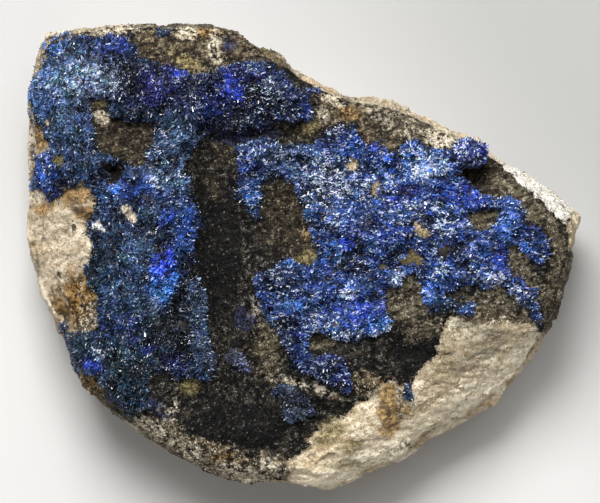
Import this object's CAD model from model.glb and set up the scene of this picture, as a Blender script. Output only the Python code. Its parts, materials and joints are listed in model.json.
import json
import math

import bpy
import numpy as np
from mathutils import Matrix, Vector, noise
from mathutils.bvhtree import BVHTree
from mathutils.kdtree import KDTree

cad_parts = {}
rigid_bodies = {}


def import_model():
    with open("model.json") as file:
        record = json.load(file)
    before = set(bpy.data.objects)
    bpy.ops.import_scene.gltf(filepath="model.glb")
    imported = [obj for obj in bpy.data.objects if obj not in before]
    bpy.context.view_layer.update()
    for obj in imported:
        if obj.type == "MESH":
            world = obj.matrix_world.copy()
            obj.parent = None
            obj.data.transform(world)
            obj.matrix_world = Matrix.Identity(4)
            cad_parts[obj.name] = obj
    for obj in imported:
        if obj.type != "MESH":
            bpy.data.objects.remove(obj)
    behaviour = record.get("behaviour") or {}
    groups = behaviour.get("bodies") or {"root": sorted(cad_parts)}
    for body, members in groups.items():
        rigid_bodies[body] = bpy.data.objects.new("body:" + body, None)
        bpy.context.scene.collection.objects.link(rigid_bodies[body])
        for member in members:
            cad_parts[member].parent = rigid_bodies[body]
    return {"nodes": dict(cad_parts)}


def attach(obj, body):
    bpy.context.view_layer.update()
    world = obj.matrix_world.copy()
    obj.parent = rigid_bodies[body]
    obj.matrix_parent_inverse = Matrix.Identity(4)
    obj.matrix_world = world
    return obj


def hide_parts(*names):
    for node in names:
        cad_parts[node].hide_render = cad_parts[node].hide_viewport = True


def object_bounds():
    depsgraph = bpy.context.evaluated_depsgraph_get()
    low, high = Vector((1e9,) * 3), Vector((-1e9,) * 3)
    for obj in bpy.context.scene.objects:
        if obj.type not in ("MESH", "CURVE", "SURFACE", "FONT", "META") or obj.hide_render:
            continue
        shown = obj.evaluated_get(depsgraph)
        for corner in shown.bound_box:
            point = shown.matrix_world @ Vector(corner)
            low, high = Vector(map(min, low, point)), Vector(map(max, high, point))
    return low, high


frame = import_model()
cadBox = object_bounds()
cadNodes = frame["nodes"]
crustNames = sorted(name for name in cadNodes if name.startswith("linarite"))
bakeMap = "OFBake"  # the name of the map that a piece's finish is baked on
boxMargin = 0.002  # mm that the pieces stay inside the CAD box
closeBy = 1e-6  # m, within which two points are merged
beyond = 900.0  # mm, past every edge of the stone
noise.seed_set(7)  # or each run would draw its own random steps


def leaveAll():
    if bpy.context.mode != "OBJECT":
        bpy.ops.object.mode_set(mode="OBJECT")
    bpy.ops.object.select_all(action="DESELECT")


def pick(piece):
    leaveAll()
    piece.select_set(True)
    bpy.context.view_layer.objects.active = piece


def inEdit(piece, *steps):
    pick(piece)
    bpy.ops.object.mode_set(mode="EDIT")
    for step in steps:
        step()
    bpy.ops.object.mode_set(mode="OBJECT")


def finishWith(piece, kind, **settings):
    pick(piece)
    modifier = piece.modifiers.new(kind.lower(), kind)
    for name, value in settings.items():
        setattr(modifier, name, value)
    bpy.ops.object.modifier_apply(modifier=modifier.name)


def takeAll():
    bpy.ops.mesh.select_all(action="SELECT")


def mergeClose():
    bpy.ops.mesh.remove_doubles(threshold=closeBy)


def newPiece(name, mesh):
    piece = bpy.data.objects.new(name, mesh.copy())
    bpy.context.scene.collection.objects.link(piece)
    piece.data.materials.clear()
    return piece


def mergedCopy(nodeName, pieceName):
    piece = newPiece(pieceName, cadNodes[nodeName].data)
    inEdit(piece, takeAll, mergeClose)
    return piece


def triangles(piece):
    return sum(len(face.vertices) - 2 for face in piece.data.polygons)


def numbersOf(items, key, each=1, kind=np.float32):
    found = np.empty(len(items) * each, kind)
    items.foreach_get(key, found)
    return found.reshape(-1, each) if each > 1 else found


def placesOf(piece):  # every point in millimetres
    return numbersOf(piece.data.vertices, "co", 3).astype(float) * 1000


def putPlaces(piece, places):
    piece.data.vertices.foreach_set("co", (places / 1000).astype(np.float32).ravel())
    piece.data.update()


def slopesOf(piece):
    return numbersOf(piece.data.vertex_normals, "vector", 3).astype(float)


def store(piece, name, values):
    kind, key = ("FLOAT", "value") if values.ndim == 1 else ("FLOAT_VECTOR", "vector")
    layer = piece.data.attributes.new(name, kind, "POINT")
    layer.data.foreach_set(key, values.astype(np.float32).ravel())


def read(piece, name):
    return numbersOf(piece.data.attributes[name].data, "value")


def putMap(layer, uv):
    layer.uv.foreach_set("vector", uv.astype(np.float32).ravel())


def eased(share):
    return share * share * (3 - 2 * share)


def tone(red, green, blue):  # a screen colour as the shader wants it
    shares = (red / 255, green / 255, blue / 255)
    return tuple(c / 12.92 if c <= 0.04045 else ((c + 0.055) / 1.055) ** 2.4 for c in shares) + (1.0,)


class Wire:  # a node's output, in materials and geometry nodes alike
    def __init__(self, tree, socket=None):
        self.tree, self.socket = tree, socket

    def add(self, kind, settings=None, inputs=None, output=0):
        node = self.tree.nodes.new(kind)
        for name, value in (settings or {}).items():
            if name == "stops":  # place and colour of each stop of a ramp
                while len(node.color_ramp.elements) < len(value):
                    node.color_ramp.elements.new(1.0)
                for stop, (place, colour) in zip(node.color_ramp.elements, value):
                    stop.position, stop.color = place, colour
            else:
                setattr(node, name, value)
        for key, value in (inputs or {}).items():
            if isinstance(value, Wire):
                self.tree.links.new(value.socket, node.inputs[key])
            else:
                node.inputs[key].default_value = value
        return Wire(self.tree, node.outputs[output])

    def other(self, output):
        return Wire(self.tree, self.socket.node.outputs[output])

    def maths(self, operation, *values):
        values = values or (self,)
        isVector = any(isinstance(v, tuple) or isinstance(v, Wire) and v.socket.type != "VALUE" for v in values)
        kind = "ShaderNodeVectorMath" if isVector else "ShaderNodeMath"
        fitted = [(v, v, v) if isVector and isinstance(v, (int, float)) else v for v in values]
        return self.add(kind, {"operation": operation}, dict(enumerate(fitted)))

    def __add__(self, other):
        return self.maths("ADD", self, other)

    def __sub__(self, other):
        return self.maths("SUBTRACT", self, other)

    def __rsub__(self, other):
        return self.maths("SUBTRACT", other, self)

    def __mul__(self, other):
        return self.maths("MULTIPLY", self, other)

    def most(self, other):
        return self.maths("MAXIMUM", self, other)

    def rise(self, low, high):  # from 0 at low to 1 at high, eased
        inputs = {"Value": self, "From Min": low, "From Max": high}
        return self.add("ShaderNodeMapRange", {"interpolation_type": "SMOOTHSTEP"}, inputs)

    def blend(self, under, over):  # this wire is how much of over shows
        settings = {"data_type": "RGBA", "clamp_factor": True}
        return self.add("ShaderNodeMix", settings, {0: self, 6: under, 7: over}, 2)

    def tones(self, low, high):  # from one screen colour to another
        return self.blend(tone(*low), tone(*high))

    __radd__ = __add__
    __rmul__ = __mul__


def grain(place, size, detail=2.0, rough=0.5, stretch=None, shift=0.0, output="Fac"):  # soft noise of a size in mm
    at = place * stretch if stretch else place
    if shift:
        at = at + (shift, shift * 0.7, -shift)
    inputs = {"Vector": at, "Scale": 1000 / size, "Detail": detail, "Roughness": rough}
    return place.add("ShaderNodeTexNoise", {}, inputs, output)


def cells(place, size, output="Distance", stretch=None):  # chips of a size in mm
    at = place * stretch if stretch else place
    inputs = {"Vector": at, "Scale": 1000 / size}
    return place.add("ShaderNodeTexVoronoi", {}, inputs, output)


def layered(under, *layers):  # where each layer shows, how strongly, and its screen colour
    for where, strength, colour in layers:
        under = (where * strength).blend(under, tone(*colour))
    return under


def depthInside(x, y, outline):  # mm that a point lies inside an outline, less than 0 outside
    nearest = np.full(len(x), 1e9)
    crossed = np.zeros(len(x), bool)
    for (x1, y1), (x2, y2) in zip(outline, outline[1:] + outline[:1]):
        runX, runY = x2 - x1, y2 - y1
        along = np.clip(((x - x1) * runX + (y - y1) * runY) / max(runX**2 + runY**2, 1e-9), 0, 1)
        nearest = np.minimum(nearest, np.hypot(x - x1 - along * runX, y - y1 - along * runY))
        spans = (y1 > y) != (y2 > y)
        crossed ^= spans & (x < x1 + runX * (y - y1) / (runY if runY else 1e-9))
    return np.where(crossed, nearest, -nearest)


def depthInOval(x, y, middleX, middleY, radiusX, radiusY, turn=0.0):
    c, s = math.cos(math.radians(turn)), math.sin(math.radians(turn))
    dx, dy = x - middleX, y - middleY
    away = np.hypot((dx * c + dy * s) / radiusX, (dy * c - dx * s) / radiusY)
    return (1 - away) * min(radiusX, radiusY)


def depthInMarks(x, y, marks):
    depth = np.full(len(x), -9.0)
    for mark in marks:
        found = depthInOval(x, y, *mark) if isinstance(mark, tuple) else depthInside(x, y, mark)
        depth = np.maximum(depth, found)
    return depth


def strays(places, size, layer=0.0):  # soft random sideways steps, about 1 long
    steps = [noise.noise_vector(Vector((x / size, y / size, z / size + layer))) for x, y, z in places]
    return np.array(steps)[:, :2]


def clumps(places, size, layer):  # soft random numbers around 0
    return np.array([noise.noise(Vector((x / size, y / size, layer))) for x, y in places[:, :2]])


print("tools ready")

rockLook = {
    "grid": 0.64,  # mm between points before the open face is made finer
    "faceSlope": 0.2,  # a face this level or more is part of the coated face
    "coatRelief": 0.36,
    "paleRelief": 0.22,
    "sideRelief": 0.7,
    "sideTop": 19.0,  # mm above the table where the face turns into the sides
    "sideDepth": 8.0,  # mm further down where it is all side
    "sideStray": 4.0,  # mm that the marks wander there
    "levelGround": (0.15, 0.35),  # the slope at which the face begins, and over which it sets in
    "faceFoot": (13.0, 3.0),  # the same for its height in mm
    "lowestMarks": {  # mm above the table where these marks end on the sides
        "overgrown": 12.5, "rimWhite": 13.5, "ochre": 12.0, "mottle": 11.0, "brown": 12.0, "pit": 15.0,
        "coatedSide": 7.0,
    },
}

# Outlines are rows of places, and ovals are middle, radii and turn, all in mm and degrees.
rockMarks = {
    "pale": [
        [(42.9, -14.8), (42, -13.2), (39.5, -9.8), (35, -9.2), (31, -9.8), (25.5, -10.5), (24, -13.5),
         (23.5, -15.5), (23.2, -17.5), (21, -19.5), (19.5, -21), (18.5, -22.3), (16.8, -22.3), (16, -20.8),
         (13, -23), (11.5, -24.5), (9, -26), (7, -27.8), (4, -29.5), (1.5, -31), (0, -32.3), (1.3, -33.3),
         (0, -34.3), (-1.5, -35), (-3.3, -36.3), (-5, -38.5), (-4, -45), (6, -48), (48, -38), (54, -18)],
        [(-54, 13), (-48.6, 12.6), (-46.5, 12.2), (-45.4, 10.2), (-44.2, 10.2), (-43, 12.6), (-38.6, 12.8),
         (-37, 10.5), (-38, 7), (-39.4, 5), (-37.4, 3.2), (-37.4, 0.6), (-39, -2), (-37, -5), (-36.8, -12.6),
         (-41, -13.6), (-43, -16), (-47, -17), (-56, -8)],
        [(46.4, 6.6), (48.6, 8.6), (56, 10), (56, 0), (47.4, 0.4), (46.8, 3)],
        [(-54, 24.4), (-49.2, 24), (-47.2, 23.4), (-45.4, 20.9), (-45, 19), (-47.6, 18.7), (-48.9, 15.8),
         (-49, 12.6), (-54, 12.6)],
    ],
    "tan": [
        [(-8.2, 13.6), (-1.4, 13.4), (0.6, 8.6), (1, 5.6), (1.4, 3), (2.6, 0.8), (0.8, -1.2), (-1.2, -1),
         (-2.6, 0.6), (-4.6, 0.6), (-7.6, 4), (-8.6, 8.4)],
        [(-38.2, 28.8), (-34.6, 28.4), (-34.4, 24.6), (-27, 24.6), (-26.4, 21.8), (-28, 18.6), (-27.8, 16.6),
         (-30, 16), (-33.2, 17.4), (-37.2, 19), (-37.8, 22), (-38.2, 25.6)],
        (36.5, 12.4, 8.5, 4.2, -30), (2.9, -14.8, 2.2, 1.9, 10), (-6.8, -15.6, 2.6, 5.8, 6),
        (-28.2, 37.8, 2.6, 2.8), (-2, 22, 3.4, 1.5), (-14.4, 18.6, 2, 2.2), (-16.2, 12.6, 1.3, 2.2, 20),
        (-6.4, 9.4, 2.2, 1.5),
    ],
    "umber": [
        [(33, 15), (38, 13.6), (45, 6.6), (47.6, 2), (46.4, -7), (43.4, -12.6), (41.6, -6), (44, -2), (43.6, 4),
         (38.6, 9.4), (33.4, 11.6)],
        (31.3, 7, 3.6, 2.6, -8), (38, 1, 2.6, 2.4), (37.5, -4.6, 3.6, 2.6), (18, -7, 3.8, 4.8),
        (33.5, -7.8, 6.4, 2), (2.9, -14.8, 1.8, 1.4, 10), (14, 22, 4, 1.6, -20), (21, -12.4, 3.4, 2, 20),
        (-6.6, -15.6, 2, 4.8, 6),
    ],
    "rust": [
        (16.9, -25.6, 0.7, 3.6, 4), (-40.2, 8.6, 1.2, 0.8), (-44.4, -5.6, 1.2, 0.8, 10),
        (-43.6, -10.6, 0.9, 1.6, 20),
    ],
    "rimWhite": [
        [(25.8, 24.4), (27.8, 22.6), (30.6, 21.6), (32.6, 19.6), (34.6, 16.8), (37, 15), (39.6, 12.2), (42.6, 9.8),
         (44.8, 7.4), (46.4, 6.4), (48.6, 8.4), (56, 12), (48, 22), (30, 32)],
    ],
    "brown": [
        [(1, 24), (2.4, 27.4), (1, 29.3), (4.6, 31.2), (9, 31), (20, 27.6), (29, 24), (28.4, 22), (26.8, 20.8),
         (25.5, 19.5), (21.4, 19.8), (19, 21.2), (17.4, 20.8), (15.2, 18.7), (14.4, 18.9), (13, 20.9), (10.8, 20.4),
         (9.2, 22.4), (8.6, 24.2), (6, 24.2), (3, 22.8)],
        [(-30.6, 45), (-30.4, 38.4), (-30, 35.8), (-26.6, 34.4), (-22.6, 33.6), (-20, 32.2), (-16, 33),
         (-12.5, 34.8), (-8, 35.2), (-3.4, 34.2), (-1, 32.4), (4, 31), (4, 36), (-6, 42), (-14, 46)],
    ],
    "mottle": [
        [(-32, -31.5), (-29.6, -27.6), (-26.6, -28.6), (-23.4, -28.8), (-21, -31), (-15.8, -33.4), (-12, -34.2),
         (-8.4, -35.4), (-4.8, -35.4), (-2.6, -37.4), (-4, -46), (-20, -44), (-34, -36)],
        [(-43.6, -19.8), (-40.4, -20.3), (-37.6, -20.6), (-35.9, -23.6), (-36, -25), (-33.2, -28), (-38, -32),
         (-44, -26)],
        (-40, -7.8, 3.2, 5.2), (10.4, -22.2, 2.6, 1.9), (34.6, -10.6, 9, 1.3), (-48.4, 35.6, 2.2, 2.6, -10),
        (-36, 41.4, 8, 2, 6),
    ],
    "overgrown": [
        [(-56, 25), (-48.6, 25), (-48, 30), (-47.4, 32.8), (-56, 33.6)],
        [(-56, 37.6), (-47.4, 37.4), (-46, 38.4), (-42.2, 39.8), (-41.8, 46), (-56, 46)],
        (-49.6, 15, 1.6, 3.4), (-42.4, -16, 1.6, 4, 20),
    ],
    "lit": [
        [(43, -12), (24, -9), (22, -18), (0, -31), (-6, -40), (6, -48), (50, -38)],
        (22, 24.5, 12, 4.4, -20), (42, 15, 7, 2.6, -38),
    ],
    "ochre": [
        (-40.4, 11.2, 3.4, 1.9), (-39.2, 7.8, 1.6, 1.8), (-46.6, 8.8, 1.7, 1.4, -20), (-44.4, -9.4, 2.4, 2.8, 20),
        (-47.6, 21.6, 2.2, 2.6), (14.9, -27, 2, 4.9, 4), (15.3, -30.6, 1.6, 1.6), (18.2, -26.8, 0.8, 0.5),
        (7.9, 26, 1.4, 0.8), (-18, 40.6, 2.2, 1.2), (-38.6, -22.8, 3, 1.2, -45), (-14.4, -35.8, 1.7, 1),
        (8, -32.6, 1, 0.6), (0.2, 5.2, 0.4, 0.8), (49.4, 6, 2.4, 2.2), (-41.4, -7, 1.6, 5), (-38.6, -5.4, 1.2, 3),
    ],
    "coatedSide": [
        [(38, 2.4), (60, 2.4), (60, -17.4), (50, -15.8), (42.6, -14), (38, -9)],
        [(-50, -18), (-38, -20.4), (-34, -26), (-24, -30), (-14, -34), (-6, -37), (-6, -50), (-50, -50)],
        [(-34, 40), (-12, 36), (-2, 32.4), (4, 31.2), (26, 25.6), (30, 34), (0, 50), (-34, 50)],
    ],
    "olive": [
        (4.4, -31.2, 3.2, 1.9, 38), (8.6, -33.8, 2, 1.4, 20), (-20.6, -22.8, 1.6, 1.2), (-36.3, 27.7, 1.3, 1),
        (0.9, 23.4, 1.4, 1.1), (-20.8, 34.9, 2.3, 0.9, -30), (7.4, -37, 3.2, 0.9, 5), (-6, 36.6, 1.7, 0.7, -30),
        (0.4, 0.4, 1.4, 0.8),
    ],
    "cream": [
        (-36.3, 25.3, 0.9, 1.3, 25), (5.6, 28.6, 2.6, 1.2, -15), (3, 25.6, 1.1, 1), (14, 28.5, 2.2, 0.6, -10),
        (17.4, 27.2, 2, 0.6, -20), (24.6, 20.6, 1.5, 0.9, 20), (-16.2, 37.4, 0.8, 2.6), (-21.4, 40.4, 1.8, 1.2),
        (-35, 41.2, 5, 0.7, 4), (-47.9, 36.2, 0.7, 2.2), (-27.6, -30.6, 3.8, 1.1, -42),
        (-24.6, -31.8, 2.4, 1.1, -50), (-20.4, -34.4, 2.6, 1, -35), (-13.4, -37.4, 2.4, 1.1, -15),
        (-9.6, -38.8, 2.6, 1.3, -8), (-6.2, -36.8, 2.2, 1.1, -35), (-23.1, -25.6, 0.4, 1),
        (-24.2, -27.3, 0.9, 0.3, -15), (-1.4, -22.2, 2.2, 0.35, -10), (3.2, -23.6, 2, 0.35, -25),
        (-38, 2.9, 0.7, 1, 20), (-37.6, 5.9, 1.3, 0.5, -15), (27.2, -12.2, 2, 1.6), (16.5, -34.6, 6.2, 0.9, 8),
        (0.2, 5.6, 0.5, 0.5), (-8.7, -9.6, 0.3, 0.9), (47.4, 7.4, 2.2, 1, -38), (24, 21.6, 2.2, 1.3, 20),
        (48, 4.8, 0.5, 1, -15),
    ],
    "fawn": [
        [(18, -8), (34, -10), (36, -14), (34, -17.6), (30, -19.6), (25, -21.6), (18, -22)],
    ],
    "paleRim": [
        [(-5, -46), (-4, -38.6), (1, -37.8), (5, -36.8), (11, -33.4), (17, -30), (22, -27.4), (27, -23.6),
         (32, -20.8), (37, -17.4), (41, -14), (54, -14), (54, -46)],
    ],
    "pit": [
        (31.8, -24.9, 0.7, 0.5, 30), (19.1, -33.9, 1.1, 0.5, 30), (13.8, -36.8, 1, 0.4, 25),
        (11.6, -38, 1.6, 0.4, 5), (23.1, -30.4, 0.9, 0.5, 30), (29.4, -28.8, 0.6, 0.3, 30),
        (39, -20.2, 0.8, 0.4, 40), (26.6, -29.6, 0.9, 0.3, 30), (35.2, -23.6, 0.7, 0.3, 35), (-43.9, -3, 0.5, 0.7),
        (-42.6, -14.6, 0.5, 0.6), (-38.4, -1.2, 0.7, 0.4, 30), (33.6, -10.4, 1.2, 0.4, 10), (-41.2, 5.6, 0.4, 0.8),
    ],
    "deep": [
        (-34, 15.6, 2.6, 2), (-30, 25.3, 4.2, 1.1, 4), (29.4, 14.6, 3.6, 2, -4), (-38.2, 4.7, 1.4, 0.7),
        (19.4, -15.8, 4.4, 3.6), (-16, 2, 4.6, 13, 4), (-1, 32.6, 4.6, 1.2, -28), (-12, -30, 9, 4),
        (18.4, -20.8, 2, 1.4, 40), (44.6, -10, 1.8, 5, 14),
    ],
    "dust": [
        (-10.6, -10.8, 1.6, 1.6), (-10.6, 22, 5, 1.6), (-13.8, 38.2, 1.2, 1), (-18.4, 24.4, 2.6, 2.6),
        (-26.6, -26.6, 2.2, 0.8, -40), (33.4, -3.4, 3, 1.2),
    ],
}
print("marks ready")


def bodyOf(nodeName):
    mesh = cadNodes[nodeName].data
    return BVHTree.FromPolygons([v.co for v in mesh.vertices], [face.vertices for face in mesh.polygons])


def underCrust(points):
    covers = [bodyOf(name) for name in crustNames]
    up = Vector((0, 0, 1))
    return np.array([any(cover.ray_cast(point, up)[0] for cover in covers) for point in points])


def makeRock():
    piece = mergedCopy("matrix_rock", "matrix_rock_surface")
    finishWith(piece, "REMESH", mode="VOXEL", voxel_size=rockLook["grid"] / 1000)
    faces = piece.data.polygons
    covered = underCrust([face.center for face in faces])
    free = [not hidden and face.normal.z > rockLook["faceSlope"] for hidden, face in zip(covered, faces)]
    faces.foreach_set("select", free)
    bpy.context.tool_settings.mesh_select_mode = (False, False, True)
    inEdit(piece, lambda: bpy.ops.mesh.subdivide(number_cuts=1))
    return piece


def markRock(piece):
    places = placesOf(piece)
    height = places[:, 2]
    down = np.clip((rockLook["sideTop"] - height) / rockLook["sideDepth"], 0, 1)
    wander = strays(places, 6.0, 5.0)
    seen = places[:, :2] + strays(places, 2.6) * 0.55 + strays(places, 0.9, 3.0) * 0.25
    seen = seen + wander * (down * rockLook["sideStray"])[:, None]
    for name, marks in rockMarks.items():
        depth = depthInMarks(seen[:, 0], seen[:, 1], marks)
        if name in rockLook["lowestMarks"]:  # it ends raggedly on the way down the side
            lowest = rockLook["lowestMarks"][name]
            depth = depth - down * (1.4 + wander[:, 1] * 4.5)
            depth = np.minimum(depth, (height - lowest + wander[:, 0] * 7.0) * 0.5)
        store(piece, name, depth)
    slope, ease = rockLook["levelGround"]
    foot, fade = rockLook["faceFoot"]
    level = np.clip((slopesOf(piece)[:, 2] - slope) / ease, 0, 1) * np.clip((height - foot) / fade, 0, 1)
    store(piece, "side", 1 - level)
    store(piece, "hidden", underCrust([vertex.co for vertex in piece.data.vertices]).astype(float))


def geometryTree(name):
    tree = bpy.data.node_groups.new(name, "GeometryNodeTree")
    tree.interface.new_socket("Geometry", in_out="INPUT", socket_type="NodeSocketGeometry")
    tree.interface.new_socket("Geometry", in_out="OUTPUT", socket_type="NodeSocketGeometry")
    start = tree.nodes.new("NodeGroupInput")
    tree.nodes.new("NodeGroupOutput")
    return Wire(tree, start.outputs[0])


def closeTree(wire):  # the finished tree, whose output this wire is
    end = next(node for node in wire.tree.nodes if node.type == "GROUP_OUTPUT")
    wire.tree.links.new(wire.socket, end.inputs[0])
    return wire.tree


def readIn(wire, name, kind="FLOAT"):
    return wire.add("GeometryNodeInputNamedAttribute", {"data_type": kind}, {"Name": name})


def keepAs(geometry, name, value, domain="POINT"):
    settings = {"data_type": "FLOAT", "domain": domain}
    return geometry.add(
        "GeometryNodeStoreNamedAttribute", settings, {"Geometry": geometry, "Name": name, "Value": value}
    )


def pushOut(piece, geometry, height):  # moves each point along its normal by a height in mm
    offset = geometry.add("GeometryNodeInputNormal") * (height * 0.001)
    moved = geometry.add("GeometryNodeSetPosition", {}, {"Geometry": geometry, "Offset": offset})
    finishWith(piece, "NODES", node_group=closeTree(moved))


def roughenRock(piece):
    start = geometryTree("rock relief")
    place = start.add("GeometryNodeInputPosition")
    side = readIn(start, "side")
    pale = readIn(start, "pale").rise(-0.3, 0.5) * (1 - side)
    mottle = readIn(start, "mottle").rise(-0.3, 0.5) * (1 - side)
    coat = (1 - side) * (1 - pale)
    gritty = grain(place, 1.3, 4.0, 0.62) - 0.5
    pits = cells(place, 1.25) - 0.45
    bedding = grain(place, 3.2, 4.0, 0.6, (0.35, 2.2, 1.0)) - 0.5
    coarse = grain(place, 9.0, 5.0, 0.6) - 0.5
    gravel = grain(place, 0.7, 2.0, 0.6) - 0.5
    height = coat * (gritty * 1.5 + pits * 0.5 + gravel * 1.3) * rockLook["coatRelief"]
    waves = grain(place, 9.0, 3.0, 0.55, (0.6, 1.4, 1.0)) - 0.5
    grooves = (grain(place, 5.5, 3.0, 0.6, (0.5, 1.5, 1.0)) - 0.5).maths("ABSOLUTE").rise(0.05, 0.0)
    astray = place + (grain(place, 7.0, 3.0, output="Color") - (0.5, 0.5, 0.5)) * 0.012
    steps = start.add("ShaderNodeSeparateXYZ", {}, {0: cells(astray, 6.5, "Color", (1.0, 1.0, 1.3))})
    height = height + pale * (bedding * 0.6 + gritty * 0.3 + gravel * 0.3 - grooves * 0.9) * rockLook["paleRelief"]
    height = height + pale * (waves * 2.4 + (steps - 0.5) * 0.5)
    height = height + mottle * bedding * 0.5
    facets = cells(astray, 8.0, stretch=(1.0, 1.0, 1.4)) - 0.45  # hollow chips with sharp edges between them
    chips = cells(astray, 3.0, stretch=(1.0, 1.0, 1.7)) - 0.45
    broken = coarse * 2.8 + facets * 1.5 + chips * 0.7 + (steps - 0.5) * 1.8 + (steps.other("Y") - 0.5) * 0.4
    broken = broken + bedding * 0.6 + gritty * 0.6 + gravel * 0.3
    worn = 1 - readIn(start, "paleRim").rise(-1.0, 2.0) * 0.3
    height = height + side * broken * worn * rockLook["sideRelief"]
    pushOut(piece, keepAs(start, "relief", broken), height)


def corners(piece):  # the point and the face of each corner, and a way to average the points of each face
    points = numbersOf(piece.data.loops, "vertex_index", kind=np.int32)
    starts = numbersOf(piece.data.polygons, "loop_start", kind=np.int32)
    counts = numbersOf(piece.data.polygons, "loop_total", kind=np.int32)
    face = np.repeat(np.arange(len(starts)), counts)
    return points, face, lambda values: np.add.reduceat(values[points], starts) / counts


def layOutBed(piece):  # seen from above, with the hidden underside small beside it
    points, face, mean = corners(piece)
    places = placesOf(piece)[:, :2]
    low = places.min(0)
    flat = (places - low) / (places - low).max()
    under = (mean(slopesOf(piece)[:, 2]) < 0)[face, None]
    uv = np.where(under, flat[points] * 0.19 + (0.8, 0.005), flat[points] * 0.78 + 0.005)
    putMap(piece.data.uv_layers.new(name=bakeMap), uv)


mapLook = {  # the rock's map has a side of 1
    "sectors": 72,  # around the rim
    "faceScale": 0.0071,  # for each mm
    "backScale": 0.0029,
    "backDepth": 8.0,  # mm from the rim inwards where the back begins
    "backHeight": 10.0,  # and its greatest height
    "stripHeight": 0.17,
    "stripFoot": (0.64, 0.82),  # of the far half and the near half of the sides
}


def layOutRock(piece):  # the face from above, the sides as two strips, the back beside the face
    places, side = placesOf(piece), read(piece, "side")
    points, face, mean = corners(piece)
    x, y, z = places.T
    isTop = mean(side) < 0.5
    angle, away = np.arctan2(y, x), np.hypot(x, y)
    sectors = mapLook["sectors"]
    bins = ((angle + np.pi) / (2 * np.pi) * sectors).astype(int) % sectors
    rim = np.array([away[bins == b].max() for b in range(sectors)])
    middles = np.linspace(-np.pi, np.pi, sectors + 1)[:-1] + np.pi / sectors
    away = away - np.interp(angle, middles, rim, period=2 * np.pi)
    isBack = ~isTop & (mean(away) < -mapLook["backDepth"]) & (mean(z) < mapLook["backHeight"])
    height = np.arctan2(z - 13.0, away + 9.5)
    middle = np.arctan2(mean(y), mean(x))[face]
    turn = (angle[points] - middle + np.pi) % (2 * np.pi) - np.pi + middle  # no face is torn where the angle jumps
    half = middle > 0
    u = np.where(half, turn / np.pi, turn / np.pi + 1) * 0.96 + 0.02
    v = (height[points] / np.pi + 0.5).clip(0, 1) * mapLook["stripHeight"] + np.where(half, *mapLook["stripFoot"])
    east, north = x[points] + 50.5, y[points] + 43.0
    u = np.where(isTop[face], east * mapLook["faceScale"] + 0.005, u)
    v = np.where(isTop[face], north * mapLook["faceScale"] + 0.01, v)
    u = np.where(isBack[face], north * mapLook["backScale"] + 0.735, u)
    v = np.where(isBack[face], east * mapLook["backScale"] + 0.01, v)
    putMap(piece.data.uv_layers.new(name=bakeMap), np.stack([u, v], 1))


def keepInBox(piece):
    low, high = (np.array(corner) * 1000 for corner in cadBox)
    putPlaces(piece, np.clip(placesOf(piece), low + boxMargin, high - boxMargin))


def makeMaterial(name):
    material = bpy.data.materials.new(name)
    material.use_nodes = True
    place = Wire(material.node_tree).add("ShaderNodeTexCoord", output="Object")
    return material, material.node_tree.nodes["Principled BSDF"], place


def readOn(wire, name, output="Fac"):
    return wire.add("ShaderNodeAttribute", {"attribute_name": name}, {}, output)


def plug(shader, **wires):
    for name, value in wires.items():
        socket = shader.inputs[name.replace("_", " ")]
        if isinstance(value, Wire):
            value.tree.links.new(value.socket, socket)
        else:
            socket.default_value = value


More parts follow.
